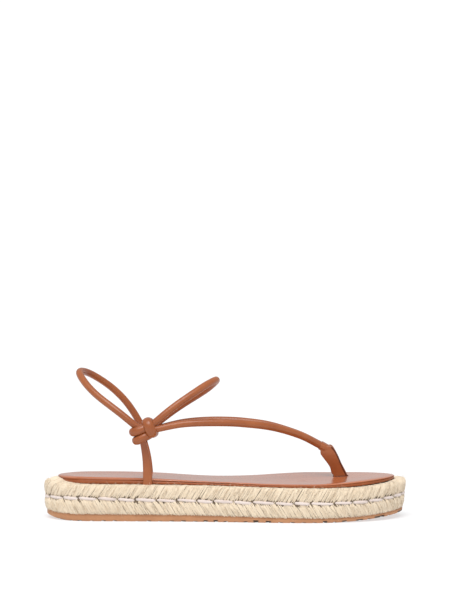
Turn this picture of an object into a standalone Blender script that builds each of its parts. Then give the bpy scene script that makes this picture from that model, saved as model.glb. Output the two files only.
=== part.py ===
"""Thong sandal on a flat jute platform, for the right foot.

Metres. +X points to the toe, +Y to the inner (big toe) side and +Z up.
The origin is on the ground, under the middle of the sole's length.
"""

import math

import bmesh
import bpy
from mathutils import Vector
from mathutils.geometry import interpolate_bezier

# Sole, seen from above
SOLE_LENGTH = 0.260
BALL_WIDTH = 0.091
WAIST_WIDTH = 0.064
HEEL_WIDTH = 0.066

# Layers, from the ground up
RUBBER_THICKNESS = 0.005
JUTE_HEIGHT = 0.0207
FOOTBED_THICKNESS = 0.0026
INSOLE_THICKNESS = 0.0026
TOE_SPRING = 0.0042
LAYER_GAP = 0.0003

# Rims: how far each layer's edge lies inside the jute's widest outline
RUBBER_INSET = 0.0026
SIDE_RIM = 0.0058
HEEL_RIM = 0.0095
TOE_RIM = 0.0085

# Rounded edges, as how far in the round goes
RUBBER_ROUND = 0.0006
JUTE_FOOT_ROUND = 0.0024
JUTE_TOP_ROUND = 0.0040
FOOTBED_ROUND = 0.0011
INSOLE_ROUND = 0.0028

# Plaited jute
STRIP_COUNT = 84
STRIP_DEPTH = 0.0009
STRIP_LEAN = 0.62
GROOVE_DEPTH = 0.0024
GROOVE_WIDTH = 0.0026

# Tread
TREAD_PITCH = 0.0105
TREAD_GAP = 0.0024
TREAD_DEPTH = 0.0013
TREAD_WAVE = 0.0030
TREAD_WAVES = 4
TREAD_REACH = 0.051

# Straps, measured from the top of the insole
STRAP_HEIGHT = 0.075
STRAP_HALF_SPAN = 0.034
TOE_CORD = 0.0048
ANKLE_CORD = 0.0043
ANCHOR_WIDTH = 0.0064
ANCHOR_THICKNESS = 0.0030
ANCHOR_TOP_WIDTH = 0.0044
ANCHOR_TOP_THICKNESS = 0.0040
ANCHOR_DEPTH = 0.007
ANCHOR_FORWARD = 0.0027
ANCHOR_LEAN = 0.0018
FIT_CLEARANCE = 0.0003

# Toe tab
TAB_WIDTH = 0.0086
TAB_THICKNESS = 0.0033
TAB_HEIGHT = 0.0240
TAB_LEAN = 0.455
TAB_WALL = 0.0009
CORD_SPREAD = 0.0039

# Faces that meet at less than this many degrees are shaded as one round
SHARP_ANGLE = 38.0

# Outline of the jute, round the sole from the heel's end by the outer side:
# share of the length, share of half the width named beside it, that width
OUTLINE = (
    (0.000, 0.00, HEEL_WIDTH),
    (0.027, -0.59, HEEL_WIDTH),
    (0.092, -0.93, HEEL_WIDTH),
    (0.220, -1.01, HEEL_WIDTH),
    (0.385, -1.11, WAIST_WIDTH),
    (0.540, -0.89, BALL_WIDTH),
    (0.675, -1.00, BALL_WIDTH),
    (0.790, -0.98, BALL_WIDTH),
    (0.885, -0.79, BALL_WIDTH),
    (0.955, -0.46, BALL_WIDTH),
    (0.994, -0.04, BALL_WIDTH),
    (0.997, 0.32, BALL_WIDTH),
    (0.966, 0.68, BALL_WIDTH),
    (0.893, 0.92, BALL_WIDTH),
    (0.790, 1.00, BALL_WIDTH),
    (0.690, 0.965, BALL_WIDTH),
    (0.580, 0.76, BALL_WIDTH),
    (0.460, 0.84, WAIST_WIDTH),
    (0.330, 0.87, WAIST_WIDTH),
    (0.210, 0.98, HEEL_WIDTH),
    (0.092, 0.90, HEEL_WIDTH),
    (0.027, 0.57, HEEL_WIDTH),
)

# Side profile: share of the length, lift as a share of TOE_SPRING, and the
# thickness of rubber, footbed and insole as shares of their own sizes
PROFILE = (
    (0.000, 0.50, 0.90, 1.00, 1.00),
    (0.030, 0.20, 0.95, 1.00, 1.00),
    (0.065, 0.00, 1.00, 1.00, 1.00),
    (0.300, 0.00, 0.96, 0.95, 0.80),
    (0.480, 0.00, 0.86, 0.78, 0.56),
    (0.620, 0.00, 0.72, 0.66, 0.54),
    (0.760, 0.00, 0.64, 0.60, 0.55),
    (0.815, 0.07, 0.61, 0.60, 0.53),
    (0.865, 0.22, 0.58, 0.60, 0.52),
    (0.912, 0.44, 0.55, 0.60, 0.50),
    (0.955, 0.68, 0.52, 0.60, 0.50),
    (1.000, 1.00, 0.50, 0.60, 0.50),
)

# The two knots: share of the length, of STRAP_HALF_SPAN, of STRAP_HEIGHT
OUTER_KNOT = (0.2785, -1.00, 0.450)
INNER_KNOT = (0.2785, 1.00, 0.368)

# Ankle ring, from the outer knot round the heel and back by the inner knot
ANKLE_RING = (
    OUTER_KNOT,
    (0.258, -1.00, 0.490),
    (0.232, -0.97, 0.566),
    (0.203, -0.91, 0.645),
    (0.171, -0.80, 0.722),
    (0.142, -0.64, 0.795),
    (0.117, -0.43, 0.876),
    (0.101, -0.20, 0.945),
    (0.094, 0.03, 0.985),
    (0.101, 0.26, 0.990),
    (0.122, 0.50, 0.960),
    (0.149, 0.69, 0.898),
    (0.180, 0.83, 0.820),
    (0.209, 0.91, 0.730),
    (0.232, 0.95, 0.635),
    (0.246, 0.98, 0.520),
    (0.258, 0.99, 0.420),
    INNER_KNOT,
    (0.322, 0.97, 0.492),
    (0.366, 0.92, 0.604),
    (0.407, 0.77, 0.700),
    (0.444, 0.50, 0.786),
    (0.467, 0.22, 0.866),
    (0.474, -0.03, 0.912),
    (0.466, -0.28, 0.908),
    (0.440, -0.54, 0.868),
    (0.403, -0.77, 0.783),
    (0.362, -0.92, 0.694),
    (0.318, -0.99, 0.573),
)

# Toe straps, from a knot to the tab's mouth: share of the way along, then for
# the outer and for the inner strap the share of the way across, and the bow
# above a straight line as a share of STRAP_HEIGHT
TOE_STRAPS = (
    (0.00, 0.00, 0.000, 0.00, 0.000),
    (0.08, 0.00, 0.050, 0.00, 0.048),
    (0.19, 0.01, 0.117, 0.00, 0.107),
    (0.29, 0.04, 0.149, 0.02, 0.137),
    (0.40, 0.10, 0.170, 0.05, 0.154),
    (0.51, 0.18, 0.185, 0.12, 0.161),
    (0.58, 0.27, 0.184, 0.17, 0.158),
    (0.69, 0.41, 0.178, 0.29, 0.147),
    (0.79, 0.59, 0.142, 0.45, 0.117),
    (0.90, 0.82, 0.084, 0.72, 0.070),
    (0.97, 0.96, 0.024, 0.92, 0.021),
)

# Turns of a knot, as seen from outside: name, place forward and up from the
# knot's middle, slope in radians, then half the turn's long side, half its
# depth and its thickness; all but the slope are shares of ANKLE_CORD
KNOT_TURNS = (
    ("upper_turn", -0.76, 0.40, 0.33, 1.34, 1.06, 1.16),
    ("lower_turn", -0.39, -0.78, 0.42, 1.30, 1.02, 1.16),
    ("front_turn", 0.91, 0.65, -1.25, 1.21, 1.24, 1.28),
)

TURN_POINTS = 10

# The tab's foot on the insole: share of the length, of half the ball's width
TAB_FOOT = (0.8215, 0.209)

# Toe tab, from its foot up: share of TAB_HEIGHT, of TAB_WIDTH, of TAB_THICKNESS
TAB_SECTIONS = (
    (0.00, 1.00, 1.00),
    (0.22, 1.13, 1.00),
    (0.43, 1.26, 1.15),
    (0.65, 1.40, 1.80),
    (0.82, 1.12, 2.10),
    (1.00, 0.40, 1.30),
)

# Mouth of the tab and bend of the cords in it: how far back from the tab's
# foot and how high, as shares of TAB_HEIGHT
TAB_MOUTH = (0.605, 0.965)
TAB_BEND = (0.355, 0.825)
BEND_TURNS = (-60.0, -30.0, 0.0, 30.0, 60.0)

# Fold of the tab over the two cords, from its mouth to past their bend: share
# of the way, of half the distance between the cords, of its full radius
SLEEVE_SECTIONS = (
    (1.00, 1.05, 1.00),
    (0.50, 1.03, 1.00),
    (0.15, 0.85, 1.00),
    (-0.15, 0.50, 1.00),
    (-0.42, 0.12, 0.85),
    (-0.58, 0.00, 0.55),
)
SLEEVE_SIDES = 14

TAN_LEATHER = ("tan leather", (0.45, 0.135, 0.05, 1.0), 0.42)
JUTE_FIBRE = ("jute fibre", (0.78, 0.62, 0.40, 1.0), 0.9)
TAN_RUBBER = ("tan rubber", (0.50, 0.25, 0.12, 1.0), 0.7)


def clear_scene():
    for obj in list(bpy.data.objects):
        bpy.data.objects.remove(obj, do_unlink=True)


def material(look):
    name, colour, roughness = look
    made = bpy.data.materials.get(name)
    if made is None:
        made = bpy.data.materials.new(name)
        made.use_nodes = True
        shader = made.node_tree.nodes["Principled BSDF"]
        shader.inputs["Base Color"].default_value = colour
        shader.inputs["Roughness"].default_value = roughness
        shader.inputs["Metallic"].default_value = 0.0
    return made


def object_from(bm, name, look=None):
    bmesh.ops.recalc_face_normals(bm, faces=bm.faces)
    mesh = bpy.data.meshes.new(name)
    bm.to_mesh(mesh)
    bm.free()
    obj = bpy.data.objects.new(name, mesh)
    bpy.context.scene.collection.objects.link(obj)
    if look:
        mesh.materials.append(material(look))
    return obj


def helper(obj):
    obj.hide_render = True
    obj.display_type = "WIRE"
    return obj


def boolean(obj, other, operation, solver="EXACT"):
    modifier = obj.modifiers.new(operation.lower(), "BOOLEAN")
    modifier.operation = operation
    modifier.solver = solver
    modifier.object = helper(other)


def apply_modifiers(obj, *helpers):
    """Makes the evaluated mesh the object's own, and removes its helpers."""
    graph = bpy.context.evaluated_depsgraph_get()
    graph.update()
    mesh = bpy.data.meshes.new_from_object(obj.evaluated_get(graph))
    obj.modifiers.clear()
    obj.data = mesh
    for other in helpers:
        bpy.data.objects.remove(other, do_unlink=True)


def shade_round(*pieces):
    for piece in pieces:
        piece.data.shade_smooth()
        piece.data.set_sharp_from_angle(angle=math.radians(SHARP_ANGLE))


def smooth_curve(points, steps, cyclic):
    """Points along a smooth curve through the given ones, by their tangents."""
    points = [Vector(p) for p in points]
    count = len(points)
    made = []
    for i in range(count if cyclic else count - 1):
        before = points[i - 1] if cyclic or i else points[0]
        start = points[i]
        end = points[(i + 1) % count]
        after = points[(i + 2) % count] if cyclic or i + 2 < count else end
        third = (end - start).length / 3.0
        leave = (end - before).normalized() * third
        arrive = (after - start).normalized() * third
        piece = interpolate_bezier(start, start + leave, end - arrive, end, steps + 1)
        made += piece[:-1]
    if not cyclic:
        made.append(points[-1])
    return made


class Outline:
    """The jute's widest outline, measured round from the heel's end."""

    STEPS = 24

    def __init__(self):
        corners = [
            ((along - 0.5) * SOLE_LENGTH, across * width / 2.0, 0.0)
            for along, across, width in OUTLINE
        ]
        self.points = smooth_curve(corners, self.STEPS, True)
        self.lengths = [0.0]
        for i, point in enumerate(self.points):
            after = self.points[(i + 1) % len(self.points)]
            self.lengths.append(self.lengths[-1] + (after - point).length)
        self.length = self.lengths[-1]

    def place(self, distance):
        """(point, outward normal) at a distance round the outline."""
        distance = distance % self.length
        low, high = 0, len(self.points)
        while high - low > 1:
            middle = (low + high) // 2
            if self.lengths[middle] <= distance:
                low = middle
            else:
                high = middle
        count = len(self.points)
        start, end = self.points[low], self.points[(low + 1) % count]
        share = (distance - self.lengths[low]) / (self.lengths[low + 1] - self.lengths[low])
        before = self.points[low - 1]
        after = self.points[(low + 2) % count]
        tangent = (end - before).lerp(after - start, share)
        return start.lerp(end, share), Vector((tangent.y, -tangent.x, 0.0)).normalized()

    def inset_point(self, distance, inset):
        point, normal = self.place(distance)
        return point - normal * inset

    def half_width(self, x, side, inset):
        """How far an inset outline reaches across at x, on the side -1 or +1."""
        count = 400
        best = min(
            (self.inset_point(self.length * i / count, inset) for i in range(count)),
            key=lambda p: abs(p.x - x) + (SOLE_LENGTH if p.y * side < 0 else 0.0),
        )
        return abs(best.y)


def profile_at(x, column):
    """A column of PROFILE at x, in straight lines between its rows."""
    along = min(max(x / SOLE_LENGTH + 0.5, 0.0), 1.0)
    for first, second in zip(PROFILE, PROFILE[1:]):
        if along <= second[0]:
            share = (along - first[0]) / (second[0] - first[0])
            return first[column] + share * (second[column] - first[column])
    return PROFILE[-1][column]


def ground_lift(x):
    return TOE_SPRING * profile_at(x, 1)


def rubber_top(x):
    return ground_lift(x) + RUBBER_THICKNESS * profile_at(x, 2)


def jute_foot(x):
    return rubber_top(x) + LAYER_GAP


def footbed_foot(x):
    return jute_foot(x) + JUTE_HEIGHT + LAYER_GAP


def footbed_top(x):
    return footbed_foot(x) + FOOTBED_THICKNESS * profile_at(x, 3)


def insole_foot(x):
    return footbed_top(x) + LAYER_GAP


def insole_top(x):
    return insole_foot(x) + INSOLE_THICKNESS * profile_at(x, 4)


def end_rim(x):
    """The rim beside the footbed: wider at the heel's and the toe's ends."""
    along = x / SOLE_LENGTH + 0.5
    heel = max(0.0, 1.0 - along / 0.12) ** 2
    toe = max(0.0, 1.0 - (1.0 - along) / 0.14) ** 2
    return SIDE_RIM + (HEEL_RIM - SIDE_RIM) * heel + (TOE_RIM - SIDE_RIM) * toe


def bend_to_profile(obj, foot, top):
    """Cuts the flat layer at the profile's rows, and lays it between two curves."""
    bm = bmesh.new()
    bm.from_mesh(obj.data)
    for row in PROFILE[1:-1]:
        x = (row[0] - 0.5) * SOLE_LENGTH
        geometry = bm.verts[:] + bm.edges[:] + bm.faces[:]
        bmesh.ops.bisect_plane(bm, geom=geometry, dist=1e-6, plane_co=(x, 0, 0), plane_no=(1, 0, 0))
    for vertex in bm.verts:
        low, high = foot(vertex.co.x), top(vertex.co.x)
        vertex.co.z = low + (high - low) * vertex.co.z
    bmesh.ops.triangulate(bm, faces=bm.faces)
    bm.to_mesh(obj.data)
    bm.free()


def layer(name, look, outline, count, rings, inset_at):
    """A flat layer from 0 to 1 in height. A ring is its height and its inset."""
    bm = bmesh.new()
    loops = []
    for height, inset in rings:
        loop = []
        for i in range(count):
            point, normal = outline.place(outline.length * i / count)
            place = point - normal * (inset_at(point.x) + inset)
            loop.append(bm.verts.new((place.x, place.y, height)))
        loops.append(loop)
    bridge(bm, loops)
    bm.faces.new(loops[0])
    bm.faces.new(loops[-1])
    return object_from(bm, name, look)


def bridge(bm, loops):
    """Faces between loops of the same number of points."""
    for low, high in zip(loops, loops[1:]):
        for i in range(len(low)):
            j = (i + 1) % len(low)
            bm.faces.new((low[i], low[j], high[j], high[i]))


def make_outsole(outline):
    rings = ((0.0, RUBBER_ROUND), (0.16, 0.0), (1.0, 0.0))
    outsole = layer("outsole", TAN_RUBBER, outline, 80, rings, lambda x: RUBBER_INSET)
    bend_to_profile(outsole, ground_lift, rubber_top)
    grooves = make_tread_cutter()
    boolean(outsole, grooves, "DIFFERENCE")
    apply_modifiers(outsole, grooves)
    return outsole


def make_tread_cutter():
    """Zigzag bars across the sole, which cut the grooves between its lugs."""
    bm = bmesh.new()
    rows = int(SOLE_LENGTH / TREAD_PITCH) - 1
    for row in range(rows):
        middle = (row - (rows - 1) / 2.0) * TREAD_PITCH
        stations = []
        for i in range(TREAD_WAVES + 1):
            y = TREAD_REACH * (2.0 * i / TREAD_WAVES - 1.0)
            x = middle + TREAD_WAVE / 2.0 * (1 if i % 2 else -1)
            low = ground_lift(x) - TREAD_DEPTH
            high = ground_lift(x) + TREAD_DEPTH
            corners = [
                (x - TREAD_GAP / 2.0, y, low),
                (x + TREAD_GAP / 2.0, y, low),
                (x + TREAD_GAP * 0.3, y, high),
                (x - TREAD_GAP * 0.3, y, high),
            ]
            stations.append([bm.verts.new(c) for c in corners])
        bridge(bm, stations)
        bm.faces.new(stations[0])
        bm.faces.new(stations[-1])
    return object_from(bm, "tread grooves")


def make_jute_platform(outline):
    """Rings of the plaited side. Each is turned along the outline by its
    distance from the groove, so that the strips lean both ways from it."""
    middle = 0.5
    wall = GROOVE_WIDTH / JUTE_HEIGHT
    rings = (
        # height, inset, depth of the dips between strips
        (0.000, JUTE_FOOT_ROUND, 0.3),
        (0.110, JUTE_FOOT_ROUND * 0.25, 1.0),
        (middle - wall, 0.0, 1.0),
        (middle - wall / 2.0, GROOVE_DEPTH, 0.0),
        (middle + wall / 2.0, GROOVE_DEPTH, 0.0),
        (middle + wall, 0.0, 1.0),
        (0.900, JUTE_TOP_ROUND * 0.1, 1.0),
        (1.000, JUTE_TOP_ROUND, 0.0),
    )
    count = STRIP_COUNT * 3
    bm = bmesh.new()
    loops = []
    for height, inset, dip in rings:
        turn = abs(height - middle) * JUTE_HEIGHT * STRIP_LEAN
        loop = []
        for i in range(count):
            distance = outline.length * i / count + turn
            deeper = STRIP_DEPTH * dip if i % 3 == 0 else 0.0
            place = outline.inset_point(distance, inset + deeper)
            loop.append(bm.verts.new((place.x, place.y, height)))
        loops.append(loop)
    bridge(bm, loops)
    bm.faces.new(loops[0])
    bm.faces.new(loops[-1])
    platform = object_from(bm, "jute_platform", JUTE_FIBRE)
    bend_to_profile(platform, jute_foot, lambda x: jute_foot(x) + JUTE_HEIGHT)
    return platform


def make_footbed(outline):
    rings = ((0.0, FOOTBED_ROUND), (0.35, 0.0), (0.75, FOOTBED_ROUND * 0.1), (1.0, FOOTBED_ROUND))
    footbed = layer("footbed", TAN_LEATHER, outline, 88, rings, end_rim)
    bend_to_profile(footbed, footbed_foot, footbed_top)
    return footbed


def make_insole(outline):
    rings = (
        (0.00, FOOTBED_ROUND),
        (0.30, INSOLE_ROUND * 0.07),
        (0.72, INSOLE_ROUND * 0.2),
        (1.00, INSOLE_ROUND),
    )
    insole = layer("insole", TAN_LEATHER, outline, 88, rings, end_rim)
    bend_to_profile(insole, insole_foot, insole_top)
    return insole


def seat_height():
    """Top of the insole between the knots, from which the straps are measured."""
    return insole_top((OUTER_KNOT[0] - 0.5) * SOLE_LENGTH)


def strap_point(row):
    along, across, rise = row
    return Vector((
        (along - 0.5) * SOLE_LENGTH,
        across * STRAP_HALF_SPAN,
        seat_height() + rise * STRAP_HEIGHT,
    ))


def knot_middle(side):
    return strap_point(OUTER_KNOT if side < 0 else INNER_KNOT)


def cord(name, points, diameter, cyclic=False):
    """A round cord through the points, as a mesh."""
    curve = bpy.data.curves.new(name, "CURVE")
    curve.dimensions = "3D"
    curve.bevel_depth = diameter / 2.0
    curve.bevel_resolution = 2
    curve.use_fill_caps = True
    spline = curve.splines.new("POLY")
    spline.points.add(len(points) - 1)
    spline.use_cyclic_u = cyclic
    for slot, point in zip(spline.points, points):
        slot.co = (*point, 1.0)
    obj = bpy.data.objects.new(name, curve)
    bpy.context.scene.collection.objects.link(obj)
    graph = bpy.context.evaluated_depsgraph_get()
    graph.update()
    mesh = bpy.data.meshes.new_from_object(obj.evaluated_get(graph))
    bpy.data.objects.remove(obj, do_unlink=True)
    bm = bmesh.new()
    bm.from_mesh(mesh)
    bmesh.ops.remove_doubles(bm, verts=bm.verts, dist=1e-5)
    return object_from(bm, name)


def toe_strap_points():
    """From the outer knot, round the bend in the tab, to the inner knot."""
    bend, ahead = tab_bend(), cord_direction()
    centre = bend - ahead * CORD_SPREAD
    halves = []
    for side, columns in ((-1, (1, 2)), (1, (3, 4))):
        knot, mouth = knot_middle(side), tab_mouth(side)
        half = []
        for row in TOE_STRAPS:
            across, bow = (row[column] for column in columns)
            point = knot.lerp(mouth, row[0])
            point.y = knot.y + across * (mouth.y - knot.y)
            point.z += bow * STRAP_HEIGHT
            half.append(point)
        halves.append(half + [mouth])
    turn = []
    for angle in BEND_TURNS:
        way = math.radians(angle)
        across = Vector((0.0, math.sin(way), 0.0))
        turn.append(centre + (ahead * math.cos(way) + across) * CORD_SPREAD)
    return halves[0] + turn + halves[1][::-1]


def flat_strap(name, stations):
    """An oval strap. A station is its centre and its half sizes along and across."""
    sides = 10
    bm = bmesh.new()
    loops = []
    for centre, half_along, half_across in stations:
        loop = []
        for k in range(sides):
            angle = 2.0 * math.pi * (k + 0.5) / sides
            along = half_along * math.cos(angle)
            across = half_across * math.sin(angle)
            loop.append(bm.verts.new(centre + Vector((along, across, 0.0))))
        loops.append(loop)
    bridge(bm, loops)
    bm.faces.new(loops[0])
    bm.faces.new(loops[-1])
    return object_from(bm, name)


def anchor_stations(outline, side, grow=0.0):
    """From its end in the rim up to the knot, leaning back as it rises."""
    knot = knot_middle(side) - Vector((ANCHOR_LEAN, 0.0, 0.0))
    x = knot_middle(side).x + ANCHOR_FORWARD
    edge = outline.half_width(x, side, SIDE_RIM)
    foot = Vector((x, side * (edge + FIT_CLEARANCE + ANCHOR_THICKNESS / 2.0), 0.0))
    rim = footbed_foot(x) - LAYER_GAP
    rows = (
        # share of the way from the rim to the knot, how far it has leaned over
        (0.00, 0.00), (0.25, 0.04), (0.50, 0.20), (0.75, 0.53), (1.00, 1.00),
    )
    stations = []
    for share, lean in ((-ANCHOR_DEPTH / (knot.z - rim), 0.0),) + rows:
        centre = foot.lerp(knot, lean)
        centre.z = rim + share * (knot.z - rim)
        taper = min(max(share, 0.0), 1.0)
        along = ANCHOR_WIDTH + (ANCHOR_TOP_WIDTH - ANCHOR_WIDTH) * taper
        across = ANCHOR_THICKNESS + (ANCHOR_TOP_THICKNESS - ANCHOR_THICKNESS) * taper
        stations.append((centre, along / 2.0 + grow, across / 2.0 + grow))
    return stations


def make_knot(side):
    """The three turns of a knot, which wrap the cords that pass through it."""
    pieces = []
    for name, along, rise, slope, half_long, half_deep, thick in KNOT_TURNS:
        centre = knot_middle(side) + Vector((along, 0.0, rise)) * ANKLE_CORD
        long_way = Vector((math.cos(slope), 0.0, math.sin(slope))) * half_long
        deep_way = Vector((0.0, half_deep, 0.0))
        ring = []
        for k in range(TURN_POINTS):
            angle = 2.0 * math.pi * k / TURN_POINTS
            way = long_way * math.cos(angle) + deep_way * math.sin(angle)
            ring.append(centre + way * ANKLE_CORD)
        pieces.append(cord(f"{name} {side}", ring, thick * ANKLE_CORD, cyclic=True))
    return pieces


def make_straps(outline):
    """The upper: every cord, anchor and knot joined into one piece. At some
    sizes of the sole the exact solver loses some of these joins."""
    ring = smooth_curve([strap_point(row) for row in ANKLE_RING], 2, True)
    straps = cord("straps", ring, ANKLE_CORD, cyclic=True)
    straps.data.materials.append(material(TAN_LEATHER))
    others = [cord("toe strap", toe_strap_points(), TOE_CORD)]
    for side in (-1, 1):
        others.append(flat_strap(f"anchor {side}", anchor_stations(outline, side)))
        others += make_knot(side)
    for other in others:
        boolean(straps, other, "UNION", "MANIFOLD")
    apply_modifiers(straps, *others)
    return straps


def cut_anchor_pockets(platform, outline):
    """Slots in the jute's rim, which hold the ends of the two anchors."""
    pockets = []
    for side in (-1, 1):
        stations = anchor_stations(outline, side, FIT_CLEARANCE)[:3]
        lowest = stations[0][0]
        lowest.z -= FIT_CLEARANCE
        pockets.append(flat_strap(f"pocket {side}", stations))
    for pocket in pockets:
        boolean(platform, pocket, "DIFFERENCE")
    apply_modifiers(platform, *pockets)


def tab_foot():
    along, across = TAB_FOOT
    x = (along - 0.5) * SOLE_LENGTH
    return Vector((x, across * BALL_WIDTH / 2.0, insole_top(x)))


def tab_place(shares):
    back, height = shares
    return tab_foot() + Vector((-back, 0.0, height)) * TAB_HEIGHT


def tab_bend():
    """Where the two toe cords meet as one bend, inside the fold of the tab."""
    return tab_place(TAB_BEND)


def tab_mouth(side):
    """Where one of the two toe cords goes into the fold of the tab."""
    return tab_place(TAB_MOUTH) + Vector((0.0, side * CORD_SPREAD, 0.0))


def cord_direction():
    return (tab_bend() - tab_place(TAB_MOUTH)).normalized()


def make_tab_body(name, grow, lowest, rows):
    """The tab's oval sections. Its front edge leans back in a straight line."""
    stations = []
    for share, width, thickness in ((lowest, *rows[0][1:]),) + rows:
        half_width = width * TAB_WIDTH / 2.0
        height = share * TAB_HEIGHT
        middle = TAB_WIDTH / 2.0 - TAB_LEAN * height - half_width
        centre = tab_foot() + Vector((middle, 0.0, height))
        stations.append((centre, half_width + grow, thickness * TAB_THICKNESS / 2.0 + grow))
    return flat_strap(name, stations)


def make_toe_tab():
    front = tab_foot().x + TAB_WIDTH
    below = (footbed_foot(front) - tab_foot().z) / TAB_HEIGHT
    tab = make_tab_body("toe_tab", 0.0, below, TAB_SECTIONS)
    tab.data.materials.append(material(TAN_LEATHER))
    sleeve = make_sleeve("sleeve")
    boolean(tab, sleeve, "UNION")
    apply_modifiers(tab, sleeve)
    room = cord("cord room", toe_strap_points(), TOE_CORD + FIT_CLEARANCE * 2.0)
    boolean(tab, room, "DIFFERENCE")
    apply_modifiers(tab, room)
    return tab


def make_sleeve(name):
    """The fold over the two cords, open at the back where they come in."""
    radius = TOE_CORD / 2.0 + FIT_CLEARANCE + TAB_WALL
    run = tab_place(TAB_MOUTH) - tab_bend()
    up = cord_direction().cross(Vector((0.0, -1.0, 0.0)))
    bm = bmesh.new()
    loops = []
    for share, apart, size in SLEEVE_SECTIONS:
        centre = tab_bend() + run * share
        loop = []
        for k in range(SLEEVE_SIDES):
            angle = 2.0 * math.pi * (k + 0.5) / SLEEVE_SIDES
            across = size * radius * math.cos(angle)
            across += CORD_SPREAD * apart * (1.0 if across > 0.0 else -1.0)
            up_by = up * (size * radius * math.sin(angle))
            loop.append(bm.verts.new(centre + up_by + Vector((0.0, across, 0.0))))
        loops.append(loop)
    bridge(bm, loops)
    bm.faces.new(loops[0])
    bm.faces.new(loops[-1])
    return object_from(bm, name)


def cut_tab_slots(*layers):
    """The slot through insole and footbed for the tab's foot."""
    for piece in layers:
        slot = make_tab_body("tab slot", FIT_CLEARANCE, -0.5, TAB_SECTIONS[:2])
        boolean(piece, slot, "DIFFERENCE")
        apply_modifiers(piece, slot)


def main():
    clear_scene()
    outline = Outline()
    outsole = make_outsole(outline)
    platform = make_jute_platform(outline)
    footbed = make_footbed(outline)
    insole = make_insole(outline)
    straps = make_straps(outline)
    tab = make_toe_tab()
    cut_anchor_pockets(platform, outline)
    cut_tab_slots(footbed, insole)
    shade_round(outsole, platform, footbed, insole, straps, tab)


main()
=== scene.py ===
# Thong sandal on a flat jute platform, right foot: toe to +X, big toe side to +Y
import math
import random
from functools import lru_cache
from math import atan2, cos, exp, pi, radians, sin

import bmesh
import bpy
from mathutils import Matrix, Vector, noise
from mathutils.geometry import interpolate_bezier


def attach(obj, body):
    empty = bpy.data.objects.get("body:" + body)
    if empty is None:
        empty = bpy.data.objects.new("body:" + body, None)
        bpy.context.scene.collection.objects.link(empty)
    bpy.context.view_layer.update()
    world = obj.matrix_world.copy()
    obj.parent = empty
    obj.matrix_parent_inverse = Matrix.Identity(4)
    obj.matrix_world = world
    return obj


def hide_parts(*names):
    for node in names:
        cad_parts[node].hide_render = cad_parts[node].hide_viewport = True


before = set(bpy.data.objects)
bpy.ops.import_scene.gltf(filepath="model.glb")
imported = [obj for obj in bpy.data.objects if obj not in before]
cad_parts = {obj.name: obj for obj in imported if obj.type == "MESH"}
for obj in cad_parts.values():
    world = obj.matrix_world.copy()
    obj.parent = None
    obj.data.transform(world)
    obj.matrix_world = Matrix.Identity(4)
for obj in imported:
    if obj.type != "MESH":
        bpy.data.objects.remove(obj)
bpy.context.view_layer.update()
random.seed(11)
between = random.uniform


# the studio: a camera, a soft sun, a pale sky and a floor
studio = {
    "aim": (0.0, 0.0, 0.157),
    "distance": 4.0,
    "elevation": 3.7,  # degrees above the floor
    "lens": 333.0,
    "skyColour": (0.98, 0.975, 0.98, 1.0),
    "skyStrength": 0.62,
    "sunStrength": 2.2,
    "sunPlace": (-0.12, -0.8, 1.45),
    "sunAngle": 40.0,  # degrees across, for soft shadows
    "floorSize": 60.0,
    "floorColour": (0.38, 0.38, 0.385, 1.0),
    "floorGlow": 0.6,  # a lit table, which leaves only a faint shadow
    "glowColour": (0.975, 0.985, 1.0, 1.0),
}

bpy.context.scene.view_settings.view_transform = "Standard"
bpy.context.scene.view_settings.look = "None"


def clamp(value):
    return min(max(value, 0.0), 1.0)


def blend(low, high, share):
    return low + (high - low) * share


def placeObject(name, data, place=(0.0, 0.0, 0.0), target=None):
    obj = bpy.data.objects.new(name, data)
    bpy.context.scene.collection.objects.link(obj)
    obj.location = place
    if target:
        obj.rotation_euler = (Vector(target) - obj.location).to_track_quat("-Z", "Y").to_euler()
    return obj


def makeStudio():
    tilt = radians(studio["elevation"])
    back = Vector((0.0, -cos(tilt), sin(tilt)))
    place = Vector(studio["aim"]) + back * studio["distance"]
    camera = placeObject("camera", bpy.data.cameras.new("camera"), place, studio["aim"])
    camera.data.lens = studio["lens"]
    camera.data.sensor_width = 36.0
    camera.data.clip_end = 200.0
    bpy.context.scene.camera = camera

    lamp = bpy.data.lights.new("soft sun", "SUN")
    lamp.energy = studio["sunStrength"]
    lamp.angle = radians(studio["sunAngle"])
    placeObject("soft sun", lamp, studio["sunPlace"], (0.0, 0.0, 0.0))
    world = bpy.data.worlds.new("studio sky")
    world.use_nodes = True
    connect(world.node_tree, world.node_tree.nodes["Background"], {
        "Color": studio["skyColour"], "Strength": studio["skyStrength"],
    })
    bpy.context.scene.world = world

    finishes["floor"], tree, shader = newFinish("studio floor")
    connect(tree, shader, {
        "Base Color": studio["floorColour"], "Roughness": 0.85,
        "Emission Color": studio["glowColour"], "Emission Strength": studio["floorGlow"],
    })
    bm = bmesh.new()
    bmesh.ops.create_grid(bm, x_segments=2, y_segments=2, size=studio["floorSize"])
    floor = meshObject(bm, "floor", "floor")
    print("studio ready")


# helpers for meshes, lines and tubes
def meshObject(bm, name, finish, smooth=True):
    mesh = bpy.data.meshes.new(name)
    bm.to_mesh(mesh)
    bm.free()
    if smooth:
        mesh.shade_smooth()
    mesh.materials.append(finishes[finish])
    return placeObject(name, mesh)


def layered(tone, bm=None):
    # a mesh with a UV map and, for jute and thread, a tone for each vertex
    bm = bm or bmesh.new()
    if tone:
        bm.verts.layers.float.new("tone")
    bm.loops.layers.uv.new("UVMap")
    return bm


def closedObject(bm, name, finish, seams=False):
    if seams:
        bmesh.ops.remove_doubles(bm, verts=bm.verts, dist=1e-6)
    bmesh.ops.recalc_face_normals(bm, faces=bm.faces)
    return meshObject(bm, name, finish)


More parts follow.
